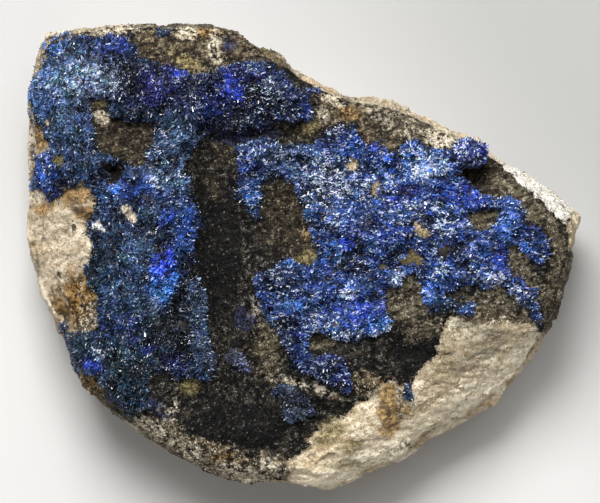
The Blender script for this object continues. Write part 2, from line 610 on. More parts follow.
def rockMaterial(name, grit=False):
    material, shader, place = makeMaterial(name)
    turned = place.add("ShaderNodeVectorRotate", {"rotation_type": "Z_AXIS"}, {"Vector": place, "Angle": -0.35})
    fine = grain(place, 0.5, 3.0, 0.65)
    finer = grain(place, 0.26, 1.0, 0.5)
    medium = grain(place, 1.6, 3.0, 0.6)
    broad = grain(place, 7.0, 3.0, 0.5)
    gravel = grain(place, 0.85, 1.0, 0.5, None, 0.07)
    layers = grain(place, 2.4, 4.0, 0.62, (0.3, 2.0, 1.0))
    slanted = grain(turned, 2.4, 4.0, 0.68, (0.5, 1.6, 1.0))
    streaks = grain(turned, 1.3, 3.0, 0.6, (0.5, 1.7, 1.0), 0.02)
    creases = (grain(turned, 5.5, 3.0, 0.6, (0.5, 1.5, 1.0)) - 0.5).maths("ABSOLUTE").rise(0.022, 0.0)
    spot = cells(place, 2.2).rise(0.10, 0.055) * fine.rise(0.5, 0.55)
    edge = (fine - 0.5) * 2.2 + (medium - 0.5) * 2.4  # the marks' edges stray by this

    def mask(name, width=0.25):
        return (readOn(place, name) + edge).rise(-width, width)

    def fleck(low, high):  # crisp little specks
        return (fine * 0.3 + finer * 0.35 + gravel * 0.35).rise(low, high)

    coat = layered(
        fleck(0.40, 0.57).tones((3, 3, 2), (40, 37, 31)),
        (streaks.rise(0.5, 0.62), 0.6, (62, 54, 42)),
        (fleck(0.55, 0.6), 0.8, (118, 117, 112)),
        (medium.rise(0.52, 0.4), 0.9, (2, 2, 2)),
        (mask("deep"), 0.8, (4, 4, 5)),
    )
    tan = layered(
        fleck(0.42, 0.58).tones((12, 8, 5), (50, 44, 34)),
        (streaks.rise(0.48, 0.62), 0.6, (74, 64, 48)),
        (fleck(0.56, 0.61), 0.75, (140, 131, 112)),
        (medium.rise(0.48, 0.34), 0.6, (9, 7, 5)),
    )
    umber = layered(
        fleck(0.42, 0.58).tones((24, 20, 14), (92, 84, 68)),
        (streaks.rise(0.47, 0.6), 0.6, (116, 106, 84)),
        (fleck(0.55, 0.6), 0.75, (168, 160, 144)),
        (medium.rise(0.47, 0.34), 0.8, (13, 11, 8)),
    )
    pale = layered(
        slanted.rise(0.34, 0.66).tones((178, 160, 132), (222, 208, 182)),
        (broad.rise(0.44, 0.6), 0.6, (188, 168, 132)),
        (fleck(0.475, 0.41), 0.7, (132, 112, 84)),
        (fleck(0.545, 0.6), 0.7, (248, 240, 222)),
        (medium.rise(0.42, 0.34) * fleck(0.53, 0.47), 0.45, (100, 80, 56)),
    )
    pale = (1 - mask("lit", 0.6)).blend(pale, pale * (0.8, 0.8, 0.81))
    pale = mask("fawn", 1.6).blend(pale, pale * (0.6, 0.61, 0.6))
    pale = (mask("paleRim", 1.8) * 0.8).blend(pale, fleck(0.42, 0.56).tones((220, 202, 168), (252, 243, 220)))
    pale = layered(pale, (creases * medium.rise(0.4, 0.56), 0.5, (92, 72, 46)), (spot, 1, (40, 30, 22)))
    ochre = layered(
        (fine * 0.4 + medium * 0.6).rise(0.42, 0.58).tones((96, 68, 30), (180, 146, 92)),
        (fleck(0.54, 0.6), 0.6, (214, 192, 150)),
        ((fleck(0.5, 0.43) * 0.8).most(medium.rise(0.47, 0.42) * 0.6), 1, (52, 36, 18)),
    )
    ochre = mask("lit", 0.6).blend(ochre * (0.74, 0.68, 0.56), ochre * (0.86, 0.8, 0.64))
    olive = fleck(0.42, 0.58).tones((74, 66, 34), (160, 146, 104))
    mottled = layered(
        (medium * 0.6 + slanted * 0.4).rise(0.42, 0.6).tones((36, 29, 20), (122, 107, 82)),
        (fleck(0.5, 0.43), 0.8, (22, 18, 13)),
        (fleck(0.53, 0.58), 0.8, (208, 198, 176)),
    )
    brownish = layered(
        (medium * 0.5 + streaks * 0.5).rise(0.42, 0.6).tones((26, 21, 14), (88, 76, 58)),
        (fleck(0.5, 0.42), 0.8, (14, 11, 8)),
        (fleck(0.54, 0.6), 0.75, (150, 138, 116)),
    )
    litGravel = layered(
        fleck(0.42, 0.56).tones((30, 24, 16), (196, 184, 162)),
        ((medium * 0.5 + broad * 0.5).rise(0.5, 0.42), 0.85, (46, 39, 30)),
    )
    brownish = (mask("lit", 0.6) * 0.7).blend(brownish, litGravel)
    whitest = layered(
        fleck(0.36, 0.54).tones((176, 168, 152), (222, 219, 210)), (medium.rise(0.44, 0.36), 0.6, (150, 140, 120))
    )

    # each stone shows where its marks are
    colour = coat
    for mark, width, strength, stone in (
        ("tan", 0.8, 1, tan), ("umber", 0.8, 1, umber), ("pale", 0.25, 1, pale), ("mottle", 0.8, 1, mottled),
        ("brown", 0.8, 1, brownish), ("ochre", 0.7, 0.85, ochre), ("olive", 0.8, 0.8, olive),
    ):
        colour = (mask(mark, width) * strength).blend(colour, stone)
    colour = layered(colour, (mask("rust", 0.6) * fleck(0.42, 0.52), 0.9, (40, 28, 13)))
    patches = (fine * 0.3 + medium * 0.7).rise(0.43, 0.5) * 0.9
    colour = (mask("cream", 0.7) * patches).blend(colour, fleck(0.38, 0.6).tones((132, 116, 90), (236, 226, 204)))
    colour = layered(
        mask("rimWhite", 0.3).blend(colour, whitest),
        (mask("pit", 0.2), 0.9, (44, 34, 24)),
        (mask("dust", 0.9) * fine.rise(0.46, 0.58), 0.8, (46, 58, 104)),
        (mask("overgrown", 0.5), 0.85, (16, 26, 52)),
    )

    # the sides are pale, darker in their hollows, and the face's coat reaches down them in places
    hollows = readOn(place, "relief") + edge * 0.3
    sideStone = layered(
        (broad * 0.5 + layers * 0.5).rise(0.36, 0.6).tones((152, 131, 98), (226, 214, 188)),
        (medium.rise(0.54, 0.66), 0.45, (122, 101, 70)),
        (fleck(0.47, 0.4), 0.6, (88, 72, 50)),
        (fleck(0.56, 0.62), 0.6, (246, 240, 224)),
        (broad.rise(0.52, 0.62), 0.5, (168, 128, 76)),
        (hollows.rise(-0.35, -1.1), 0.7, (86, 68, 46)),
        (hollows.rise(0.5, 1.3), 0.45, (240, 232, 212)),
    )
    sideStone = (mask("mottle", 1.5) * broad.rise(0.4, 0.55) * 0.7).blend(sideStone, mottled)
    sideStone = (mask("brown", 1.5) * broad.rise(0.4, 0.55) * 0.6).blend(sideStone, brownish)
    sideStone = layered(mask("rimWhite", 0.6).blend(sideStone, whitest), (spot, 1, (52, 40, 28)))
    covered = mask("overgrown", 0.5).most(mask("coatedSide", 1.2) * 0.95)
    sideHere = (readOn(place, "side") + edge * 0.12).rise(0.35, 0.75) * (1 - covered * 0.95)
    colour = sideHere.blend(colour, sideStone)

    roughness = fine.rise(0.2, 0.8) * 0.22 + 0.66
    shader.inputs["Specular IOR Level"].default_value = 0.16
    if grit:  # each lump a little lighter or darker than the stone it sits on
        shade = readOn(place, "shade")
        colour = layered(
            colour, (shade.rise(0.8, 1.0), 0.3, (150, 146, 138)), (shade.rise(0.5, 0.0), 0.5, (14, 12, 10))
        )
        plug(shader, Base_Color=colour, Roughness=roughness - readOn(place, "gloss") * 0.3)
        return material
    height = fine * 0.6 + finer * 0.3 + medium * 0.5 + gravel * 0.5 + cells(place, 0.75) * 0.35
    height = height * (1 - mask("pale") * 0.65)
    bump = place.add("ShaderNodeBump", {}, {"Strength": 1.0, "Distance": 0.00045, "Height": height})
    plug(shader, Base_Color=colour, Roughness=roughness, Normal=bump)
    return material


rock = makeRock()
markRock(rock)
roughenRock(rock)
keepInBox(rock)
layOutRock(rock)
rock.data.materials.append(rockMaterial("coated_pale_rock"))
pick(rock)
bpy.ops.object.shade_smooth()
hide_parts("matrix_rock")
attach(rock, "root")
print("rock", len(rock.data.vertices), "points", triangles(rock), "triangles")

blueTones = {
    "leftGround": (34, 56, 92), "rightGround": (50, 80, 148), "ink": (7, 10, 18), "navy": (16, 22, 54),
    "deep": (28, 48, 120), "mid": (46, 88, 180), "vivid": (48, 76, 216), "azure": (70, 130, 212),
    "steel": (84, 114, 156), "slate": (56, 76, 106), "teal": (30, 54, 72), "violet": (48, 46, 138),
    "frost": (140, 162, 198), "dusk": (48, 57, 76), "lavender": (86, 92, 118),
}

# Middle, radii, turn, tone and strength of each place where the blue differs, broad ones first.
blueMarks = [
    (-30, 6, 26, 60, "leftGround", 1), (-29, -21, 15, 13, "teal", 0.75), (-44, 30, 8.5, 12, "steel", 0.6),
    (-38.5, 31.5, 5.5, 5, "frost", 0.45), (-45, 21, 5, 6, "slate", 0.7), (-46, 15, 3, 3.5, "mid", 0.6),
    (-44.8, 11.6, 1.6, 1.6, "deep", 0.8), (-45, 38.6, 3, 2.2, "azure", 0.45), (-48, 28, 2.2, 5, "azure", 0.3),
    (-34.5, 38, 4.5, 2.2, "deep", 0.7), (-30, 30.5, 5, 6, "navy", 0.95), (-13, 28.6, 22, 8, -6, "navy", 0.95),
    (-25.5, 30.3, 3.2, 3.4, "violet", 0.55), (-22.5, 32.4, 1.8, 1.4, "vivid", 0.55),
    (-13.2, 30, 2.4, 2.8, 20, "vivid", 0.55), (-9.6, 32, 3, 1.6, "violet", 0.5),
    (-17.5, 27, 4.2, 2.4, 10, "deep", 0.6), (-3.4, 31.2, 2, 1.2, -30, "deep", 0.8),
    (0.5, 25.8, 2.2, 1.3, "mid", 0.7), (-0.5, 28.7, 3, 1.6, "deep", 0.6), (-36.5, 26.5, 1.8, 5, "slate", 0.8),
    (-22.6, 18, 2.6, 7.4, -8, "steel", 0.75), (-24, 23.6, 3, 2.6, "slate", 0.8),
    (-26.5, 13.8, 1.8, 2.2, "frost", 0.4), (-30.5, 12.2, 6.5, 2.4, "mid", 0.5),
    (-33.8, 12.2, 1, 1.2, "azure", 0.85), (-28.6, 11.2, 1.5, 1.1, "violet", 0.6), (-29, 6.4, 6, 3.4, "slate", 0.6),
    (-24.2, 7, 1.2, 1.2, "vivid", 0.9), (-24.4, 7.1, 0.6, 0.7, "azure", 0.9),
    (-20.4, 5.4, 2.6, 4.6, -12, "mid", 0.75), (-30.6, 0.8, 3, 3.6, "steel", 0.5),
    (-36.6, -1.5, 2.6, 4.4, "teal", 0.85), (-31, -6, 3.6, 2.8, "steel", 0.55), (-33, -12.4, 4, 2.6, "deep", 0.5),
    (-23.6, -13.4, 5.4, 8.6, "ink", 0.85), (-21.6, -4, 2, 6, -8, "ink", 0.75), (-31.4, -17, 4.6, 3, "teal", 0.8),
    (-27, -8, 2.2, 3.2, 20, "slate", 0.6), (-25.2, -4, 2.2, 3.4, "azure", 1),
    (-25, -0.8, 1.8, 3.2, -10, "vivid", 1), (-24.6, -4.4, 1.6, 2.2, "azure", 0.9),
    (-26.6, -8.2, 0.8, 1.2, "frost", 0.6), (-36.6, -16.6, 1.5, 1.1, "frost", 0.8),
    (-37.8, -18.8, 1.9, 1.6, "vivid", 0.55), (-40, -16, 2.4, 3.4, "teal", 0.9),
    (-30.4, -13.8, 1.3, 1.2, "violet", 0.6), (-27.6, -16.2, 1.2, 1, "violet", 0.5),
    (-18, -11, 1.9, 9, 6, "slate", 0.85), (-17.3, -17.6, 1.6, 3, "slate", 0.9),
    (-24.6, -15.8, 2, 1.2, "slate", 0.5), (-33, -21.5, 4.2, 4.8, "teal", 0.85),
    (-22.8, -18.6, 2.2, 1.5, "violet", 0.45), (-34.4, -25.4, 2.4, 2, -40, "violet", 0.4),
    (-10, 16.2, 2.4, 2.4, "mid", 0.85), (-9, 11.8, 1, 1.6, "azure", 0.5), (-4, 17.6, 5, 3.2, "slate", 0.85),
    (3, 22, 5.4, 1.9, 10, "navy", 0.85), (8.5, 20.8, 1.8, 2.6, "mid", 0.8),
    (11.8, 20.2, 2.2, 1.5, -30, "violet", 0.7), (3, 13, 7, 6, "slate", 0.5), (15.4, 16.8, 3, 3.4, "mid", 0.5),
    (20.5, 16.4, 4.8, 3.6, "azure", 0.4), (14, 5, 12, 3.6, "deep", 0.65), (18.3, 12, 1.5, 1.3, "violet", 0.8),
    (16, 9.8, 1.7, 1.5, "vivid", 0.5), (7.4, 3.4, 1.6, 1, "vivid", 0.6), (4.6, 2.4, 1.6, 1.4, "azure", 0.5),
    (28, 11.2, 4.8, 1.9, -8, "vivid", 0.45), (34.8, 0.4, 2, 2.6, "vivid", 0.4), (40.5, 2.6, 3.2, 3, "deep", 0.7),
    (39, 1.4, 1.8, 1.2, "azure", 0.4), (36.4, 6.8, 2.2, 3.2, "azure", 0.4), (25.6, 1.2, 3.4, 1.9, "navy", 0.85),
    (22.2, -5.4, 2.4, 3.4, "azure", 0.45), (27, -8.2, 3.6, 1.5, "teal", 0.7),
    (-4.6, -2.8, 4.8, 2.8, 10, "navy", 0.8), (-2.6, -1.2, 1.3, 1.2, "azure", 0.6),
    (-2.6, -8.6, 2.2, 1.4, 10, "azure", 0.7), (9.2, -9.6, 4.2, 2.4, "vivid", 0.3),
    (12.4, -11.6, 2.3, 1.7, "azure", 0.5), (8.4, -1.8, 4.6, 1.4, "navy", 0.95), (-3.6, -12.6, 3.4, 3, "navy", 0.8),
    (-1, -13.9, 0.9, 0.8, "violet", 0.8), (-2.6, -16.6, 2.4, 2.4, "navy", 0.8),
    (4, -19.4, 5, 2.4, -10, "navy", 0.85), (6.4, -21.6, 2.4, 2.4, "deep", 0.8),
    (13.6, -8.6, 1.1, 1.4, "violet", 0.6), (-12.4, -18, 4.6, 4.4, "lavender", 1), (-2, -25.8, 7, 6, "dusk", 1),
    (-3.6, -21.6, 2.2, 1.6, "slate", 0.9), (2.2, -25, 2, 1.6, "slate", 0.6), (18.4, -24, 2.4, 3, "slate", 1),
    (29.4, 18.6, 3.6, 3.6, "deep", 0.8), (30.2, 18.8, 2, 2, "violet", 0.6), (30.4, 16.6, 3.6, 1.6, "navy", 0.9),
    (16.6, -3.2, 1.3, 1.6, "frost", 1),
]

# Middle, radii, turn and strength of each place that glitters.
glintMarks = [
    (4.5, 13.5, 6.6, 5.6, 0.9), (21, 16.4, 5, 3.6, 0.95), (12, 12.5, 9, 4.6, 0.6), (20, 8, 10, 3.2, 0.6),
    (24.5, 5.4, 4, 2, 0.85), (16.2, -3, 1.3, 1.7, 1), (33.2, -3.6, 3.6, 1.6, 1), (38, -5.8, 2.6, 2, 0.9),
    (28.2, 19.8, 1.7, 1.3, 1), (9, -13, 6, 1.4, 10, 0.6), (3, -11, 4, 2, 0.8), (8, -5.6, 3, 1.3, 0.8),
    (7, -14.4, 3.8, 1, 5, 0.9), (-39.5, 31.5, 4.6, 4.6, 0.5), (-43, 33, 6, 7, 0.3), (-33.5, 32.5, 3.2, 3.2, 0.4),
    (-7, 29, 2.2, 3, 0.8), (-36.6, -16.6, 1.6, 1.1, 1), (-26.4, 13.6, 1.8, 2, 0.7), (6, 23, 2.4, 0.9, 15, 0.9),
    (39.6, -8.4, 1.6, 2.4, 15, 0.8), (-22.4, 31.2, 1.2, 0.8, -30, 1), (27, -2, 9, 3, 0.5), (4, 6.6, 7, 1.8, 0.5),
    (-3, -5, 4, 2, 0.45), (-27.2, 19, 1.4, 1.4, 0.7), (13, -12.8, 2.6, 0.9, 15, 0.9), (-18, 28.6, 3, 1.4, 20, 0.4),
    (-24, 16, 3.4, 8, 0.35), (2, 2, 8, 2.4, 0.4), (40.4, 2.4, 3, 3.4, 0.3), (-9.4, 12, 2, 4.4, 0.4),
]

# Middle, radii and turn of each place with no crystals, and its stone:
# 0 black, 0.3 tan, 0.5 olive, 0.75 cream, 1 white.
bareMarks = [
    (8.2, 16.6, 1.15, 1.7, 15, 0.68), (12.9, 12.4, 1, 1.1, 0.6), (20.5, 4.8, 1.5, 1.4, 0.64),
    (18.8, 0.3, 1.6, 1.1, -10, 0.42), (24.6, 1.3, 1.3, 1.3, 0.12), (-31, 7.9, 1.7, 1.4, -20, 0.82),
    (-27.2, 4.6, 0.5, 0.5, 1), (-43.6, 17, 0.9, 1.4, 0.45), (-39.5, 13.2, 0.9, 0.7, 0.5),
    (5.8, -11.8, 0.8, 0.9, 0.7), (-45.8, 24, 0.7, 0.7, 0.72), (13.8, -1.4, 0.6, 0.6, 0.5),
    (-33.9, 15.6, 2.3, 1.8, 0), (3.4, -3.9, 0.7, 0.5, 0.5), (-37, 5.6, 1.1, 0.6, -15, 1),
    (24.8, -6.2, 0.6, 0.5, 0.5), (-21.4, -11.6, 0.9, 1.4, 20, 0), (29.6, 14.7, 3, 1.2, -6, 0),
    (-47.5, 35.6, 1.2, 2.2, -12, 0.55),
]

crustLook = {
    "grid": 0.36,
    "topDrop": 0.4,  # mm from the tips of the crystals down to the stone between them
    "rootDepth": 1.0,  # mm that the crust reaches down into the rock
    "edgeFall": 1.5,  # mm over which it thins out at its edges
    "edgeRag": 1.1,  # mm that the edges stray
    "patchEdge": 0.45,  # the same for the small patches, as a share of these two
    "sink": 0.45,  # mm that the thinned edge lies below the rock
    "lumps": 0.8,
    "rows": 0.7,
    "knots": 0.35,
    "leftGlint": 0.1,  # how much glitters outside the marks
    "rightGlint": 0.26,
    "patchDull": 0.2,  # how much less in the small patches
    "grainTurn": (18, 80),  # degrees from x to the crust's grain, in the east and in the west
}

knobPlace = (29.6, 19.0, 4.0, 3.4)
knobMiddle = (29.1, 18.5)
knobReach = ((0.0, 3.0, 5.2, 7.5, beyond), (0.0, 2.3, 2.75, 7.5, beyond))  # mm from its middle, before and after


def ovalWeight(x, y, *oval):  # 1 in the middle of an oval, 0 well outside it
    return eased(np.clip((depthInOval(x, y, *oval) / min(oval[2:4]) + 0.45) / 1.2, 0, 1))


def markBlue(piece):
    places = placesOf(piece)
    seen = places[:, :2] + strays(places, 3.0, 7.0) * 1.2 + strays(places, 1.0, 9.0) * 0.6
    x, y = seen[:, 0], seen[:, 1]
    blues = {name: np.array(tone(*screen)[:3]) for name, screen in blueTones.items()}
    tint = np.tile(blues["rightGround"], (len(x), 1))
    for *oval, name, strength in blueMarks:
        weight = (ovalWeight(x, y, *oval) * strength)[:, None]
        tint = tint * (1 - weight) + blues[name] * weight
    glint = np.where(x > -12, crustLook["rightGlint"], crustLook["leftGlint"])
    glint = glint - (crustLook["patchDull"] if "patch" in piece.name else 0)
    for *oval, strength in glintMarks:
        glint = np.maximum(glint, ovalWeight(x, y, *oval) * strength)
    bare, stone = np.full(len(x), -9.0), np.zeros(len(x))
    for *oval, kind in bareMarks:
        depth = depthInOval(x, y, *oval)
        stone = np.where(depth > bare, kind, stone)
        bare = np.maximum(bare, depth)
    east, west = crustLook["grainTurn"]
    turn = np.radians(east + (west - east) * np.clip((2 - x) / 46, 0, 1)) + strays(places, 9.0, 11.0)[:, 0] * 0.9
    flow = np.stack([np.cos(turn), np.sin(turn), np.zeros(len(x))], 1)  # along the crust's grain
    for name, values in {"flow": flow, "tint": tint, "glint": glint, "bare": bare, "stone": stone}.items():
        store(piece, name, values)


def heightsUnder(places, ground):  # how high the rock stands under each point
    found = []
    for x, y, z in places / 1000:
        hit = ground.ray_cast(Vector((x, y, z + 0.0005)), Vector((0, 0, -1)))[0]
        found.append((hit.z if hit else z - 0.001) * 1000)
    return np.array(found)


def distancesTo(marks, places):  # mm from each place to the nearest of the marks, seen from above
    tree = KDTree(len(marks))
    for index, (x, y) in enumerate(marks):
        tree.insert((x, y, 0), index)
    tree.balance()
    return np.array([tree.find((x, y, 0))[2] for x, y in places[:, :2]])


def onTheKnob(places):
    return depthInOval(places[:, 0], places[:, 1], *knobPlace) > 0


def makeCrust(nodeName):
    piece = mergedCopy(nodeName, nodeName.replace("linarite_", "") + "_bed")
    finishWith(piece, "REMESH", mode="VOXEL", voxel_size=crustLook["grid"] / 1000)
    places, slopes = placesOf(piece), slopesOf(piece)
    ground, onKnob = heightsUnder(places, rockBody), onTheKnob(places)
    edges = places[(np.abs(slopes[:, 2]) < 0.5) & (places[:, 2] - ground < 1.7) & ~onKnob, :2]
    crustEdges.append(edges)
    small = crustLook["patchEdge"] if "patch" in nodeName else 1.0
    rag = clumps(places, 1.1, 2.0) * crustLook["edgeRag"] * small
    share = np.clip((distancesTo(edges, places) + 0.25 + rag) / crustLook["edgeFall"] / small, 0, 1)
    share = np.maximum(eased(share), onKnob)
    if "right" in nodeName:  # the knob is drawn in, so that it overhangs
        away = places[:, :2] - knobMiddle
        length = np.hypot(*away.T)[:, None]
        places[:, :2] = knobMiddle + away / np.maximum(length, 1e-6) * np.interp(length, *knobReach)
    top = slopes[:, 2] > -0.3
    high = places[:, 2] - ground - crustLook["topDrop"] * np.clip(slopes[:, 2] / 0.6, 0, 1)
    high = ground + high * share - crustLook["sink"] * (1 - share)
    places[:, 2] = np.where(top, high, places[:, 2] - crustLook["rootDepth"])
    putPlaces(piece, places)
    store(piece, "edge", np.where(top | (onKnob & (slopes[:, 2] > -0.8)), share, 0))
    markBlue(piece)
    start = geometryTree("crust ripples")
    place = start.add("GeometryNodeInputPosition")
    across = start.add("ShaderNodeSeparateXYZ", {}, {0: place}).rise(-0.016, -0.008)
    lumps = grain(place, 4.2, 2.0, 0.5) - 0.5
    rows = grain(place, 1.9, 2.0, 0.55, (0.5, 1.25, 1.0)) - 0.5
    columns = grain(place, 1.9, 2.0, 0.55, (1.25, 0.6, 1.0)) - 0.5
    rows = rows * across + columns * (1 - across)
    knots = grain(place, 0.8, 2.0, 0.5) - 0.5
    height = lumps * (2 * crustLook["lumps"]) + rows * (2 * crustLook["rows"]) + knots * (2 * crustLook["knots"])
    ridged = keepAs(start, "ridge", lumps * 0.9 + rows * 1.5 + knots * 1.1 + 0.5)
    pushOut(piece, ridged, height * readIn(start, "edge"))
    return piece


def bedMaterial():
    material, shader, place = makeMaterial("crystal_bed")
    fine, finer = grain(place, 0.5, 2.0, 0.6), grain(place, 0.3, 2.0, 0.6)
    blue = fine.rise(0.35, 0.7).blend(tone(5, 7, 14), readOn(place, "tint", "Color"))
    blue = (fine.rise(0.4, 0.7) * 0.8).blend(tone(7, 9, 18), blue)
    stones = place.add("ShaderNodeValToRGB", {"stops": [
        (0.0, tone(5, 5, 6)), (0.15, tone(44, 32, 24)), (0.3, tone(92, 78, 56)), (0.5, tone(122, 110, 66)),
        (0.75, tone(196, 174, 144)), (1.0, tone(240, 238, 232)),
    ]}, {"Fac": readOn(place, "stone")})
    stones = layered(stones, (finer.rise(0.55, 0.42), 0.75, (40, 33, 24)))
    stones = (finer.rise(0.55, 0.64) * 0.6).blend(stones, stones * (1.5, 1.5, 1.5))
    bareHere = (readOn(place, "bare") + (fine - 0.5) * 1.2).rise(-0.15, 0.15)
    plug(shader, Base_Color=bareHere.blend(blue, stones), Roughness=0.5)
    return material


crystalLook = {
    "perSquare": 23.0,  # crystals on a square millimetre
    "length": (0.55, 1.2),
    "width": (0.48, 1.0),
    "lean": 1.2,  # how far they lean over, 0 for upright
    "comb": 2.0,  # how far they lie along the crust's grain
    "steepest": (-0.75, -0.25),  # the slope down to which they grow, on the knob and elsewhere
    "patchSize": 0.7,  # in the small patches
}
bladeKinds, gritKinds = (0, 2), (3, 3)  # first and last of the small shapes that are used


def selectPoints(piece, test):
    bpy.context.tool_settings.mesh_select_mode = (True, False, False)
    piece.data.polygons.foreach_set("select", [False] * len(piece.data.polygons))
    piece.data.edges.foreach_set("select", [False] * len(piece.data.edges))
    piece.data.vertices.foreach_set("select", [test(vertex.co) for vertex in piece.data.vertices])


def resizeBy(x, y, z):
    return lambda: bpy.ops.transform.resize(value=(x, y, z), center_override=(0, 0, 0))


def moveBy(x, y, z):
    return lambda: bpy.ops.transform.translate(value=(x, y, z))


def startShape(name, addIt, **settings):
    leaveAll()
    addIt(**settings)
    bpy.context.object.name = name
    bpy.ops.object.transform_apply(location=True, rotation=True, scale=True)
    return bpy.context.object


def makeShapes():  # a chisel, a slanted blade, a pointed grain and a lump of grit, all about 1 mm long
    meshes = bpy.ops.mesh
    chisel = startShape("blade_chisel", meshes.primitive_cube_add, size=0.001, location=(0, 0, 0.0004))
    inEdit(chisel, takeAll, resizeBy(0.34, 0.22, 0.9))
    selectPoints(chisel, lambda co: co.z > 0.0005)
    inEdit(chisel, resizeBy(0.75, 0.0, 1.0), mergeClose)
    slanted = startShape(
        "blade_slanted", meshes.primitive_cylinder_add,
        vertices=3, radius=0.0006, depth=0.001, location=(0, 0, 0.0004),
    )
    inEdit(slanted, takeAll, resizeBy(0.30, 0.16, 1.0))
    selectPoints(slanted, lambda co: co.z > 0.0005 and co.x > 0)
    inEdit(slanted, moveBy(0, 0, -0.00034))
    pointed = startShape(
        "grain_pointed", meshes.primitive_cone_add,
        vertices=4, radius1=0.00018, depth=0.0006, location=(0, 0, 0.00045),
    )
    lump = startShape("lump_of_grit", meshes.primitive_uv_sphere_add, segments=4, ring_count=2, radius=0.0005)
    selectPoints(lump, lambda co: co.x > 0.0001)
    inEdit(lump, moveBy(-0.0001, 0.00012, 0.00005))
    shapes = bpy.data.collections.new("small_shapes")
    bpy.context.scene.collection.children.link(shapes)
    for piece in (chisel, slanted, pointed, lump):
        piece.data.uv_layers[0].name = bakeMap
        inEdit(
            piece,
            takeAll,
            lambda: meshes.normals_make_consistent(inside=False),
            lambda: bpy.ops.uv.smart_project(angle_limit=1.15, island_margin=0.02, scale_to_bounds=True),
        )
        for old in list(piece.users_collection):
            old.objects.unlink(piece)
        shapes.objects.link(piece)
    return shapes


def spreadMap(piece):  # gives each crystal a square of its own on the map
    names = np.unique(read(piece, "cell").astype(int), return_inverse=True)[1]
    side = math.ceil(math.sqrt(names.max() + 1)) if len(names) else 1
    own = names[corners(piece)[0]]
    layer = piece.data.uv_layers[bakeMap]
    squares = np.stack([own % side, own // side], 1)
    putMap(layer, (numbersOf(layer.uv, "vector", 2).clip(0, 1) * 0.86 + 0.07 + squares) / side)
    layer.active_render = True
    piece.data.attributes.remove(piece.data.attributes["cell"])


def chance(wire, low, high, seed):
    if isinstance(low, tuple):
        return wire.add("FunctionNodeRandomValue", {"data_type": "FLOAT_VECTOR"}, {0: low, 1: high, 8: seed}, 0)
    return wire.add("FunctionNodeRandomValue", {"data_type": "FLOAT"}, {2: low, 3: high, 8: seed}, 1)


def scatterTree(shapes, kinds, look, material, seed):
    start = geometryTree(f"scatter {seed}")
    points = start.add(
        "GeometryNodeDistributePointsOnFaces", {"distribute_method": "RANDOM"},
        {"Mesh": start, "Density": readIn(start, "density") * 1e6, "Seed": seed},
    )
    way = points.other("Normal") + chance(start, (-1, -1, -1), (1, 1, 1), seed + 1) * look["lean"]
    if look["comb"]:
        way = way + readIn(start, "flow", "FLOAT_VECTOR") * (chance(start, -1.0, 1.0, seed + 9) * look["comb"])
    turned = start.add("FunctionNodeAlignRotationToVector", {"axis": "Z"}, {"Vector": way})
    spin = start.add("ShaderNodeCombineXYZ", {}, {"Z": chance(start, 0.0, 6.283, seed + 2)})
    spin = start.add("FunctionNodeEulerToRotation", {}, {0: spin})
    turned = start.add("FunctionNodeRotateRotation", {"rotation_space": "LOCAL"}, {0: turned, 1: spin})
    wide = chance(start, *look["width"], seed + 3) * readIn(start, "size")
    tall = chance(start, *look["length"], seed + 4) * readIn(start, "size")
    scale = start.add("ShaderNodeCombineXYZ", {}, {"X": wide, "Y": wide, "Z": tall})
    source = start.add(
        "GeometryNodeCollectionInfo", {"transform_space": "ORIGINAL"},
        {"Collection": shapes, "Separate Children": True, "Reset Children": True},
    )
    which = start.add("FunctionNodeRandomValue", {"data_type": "INT"}, {4: kinds[0], 5: kinds[1], 8: seed + 5}, 2)
    kept = start.add("GeometryNodeInstanceOnPoints", {}, {
        "Points": points, "Instance": source, "Pick Instance": True, "Instance Index": which,
        "Rotation": turned, "Scale": scale,
    })
    kept = keepAs(kept, "shade", chance(start, 0.0, 1.0, seed + 6), "INSTANCE")
    kept = keepAs(kept, "gloss", chance(start, 0.0, 1.0, seed + 7), "INSTANCE")
    kept = keepAs(kept, "cell", start.add("GeometryNodeInputIndex"), "INSTANCE")
    real = start.add("GeometryNodeRealizeInstances", {}, {"Geometry": kept})
    coloured = start.add("GeometryNodeSetMaterial", {}, {"Geometry": real, "Material": material})
    return closeTree(coloured)


def crystalMaterial():
    material, shader, place = makeMaterial("linarite_crystals")
    shade, gloss, glint, ridge = (readOn(place, name) for name in ("shade", "gloss", "glint", "ridge"))
    tint = readOn(place, "tint", "Vector")
    patchy = grain(place, 1.4, 2.0, 0.6)
    hued = grain(place, 2.6, 2.0, 0.6, None, 0.05)
    wavy = grain(place, 0.9, 3.0, 0.65, (0.6, 1.3, 1.0), 0.03)
    colour = tint * ((patchy - 0.28).most(0.02) * 4.9) * (gloss * 1.8 + 0.12)
    colour = (hued.rise(0.54, 0.68) * 0.4).blend(colour, colour * (1.25, 0.7, 1.3))
    colour = (hued.rise(0.46, 0.32) * 0.6).blend(colour, colour * (0.8, 1.35, 0.8))
    colour = layered(colour, ((ridge * 1.35 + shade * 0.35 - 0.15).rise(0.9, 0.32), 0.9, (3, 5, 11)))
    ice = gloss.rise(0.25, 0.4).tones((208, 240, 246), (238, 243, 254))
    ice = layered(ice, (gloss.rise(0.7, 0.8), 1, (220, 214, 254)))
    ice = glint.rise(-0.1, 0.5).blend(tint * 2.2 + (0.10, 0.12, 0.16), ice)
    frosted = (shade * 0.5 + glint * 0.4 + (wavy - 0.5) * 1.9 + (ridge - 0.5) * 0.4).rise(0.64, 0.7)
    colour = (frosted * 0.95).blend(colour, ice)
    plug(shader, Base_Color=colour, Roughness=gloss.rise(0.0, 1.0) * 0.25 + 0.15)
    shader.inputs["IOR"].default_value = 1.75
    return material


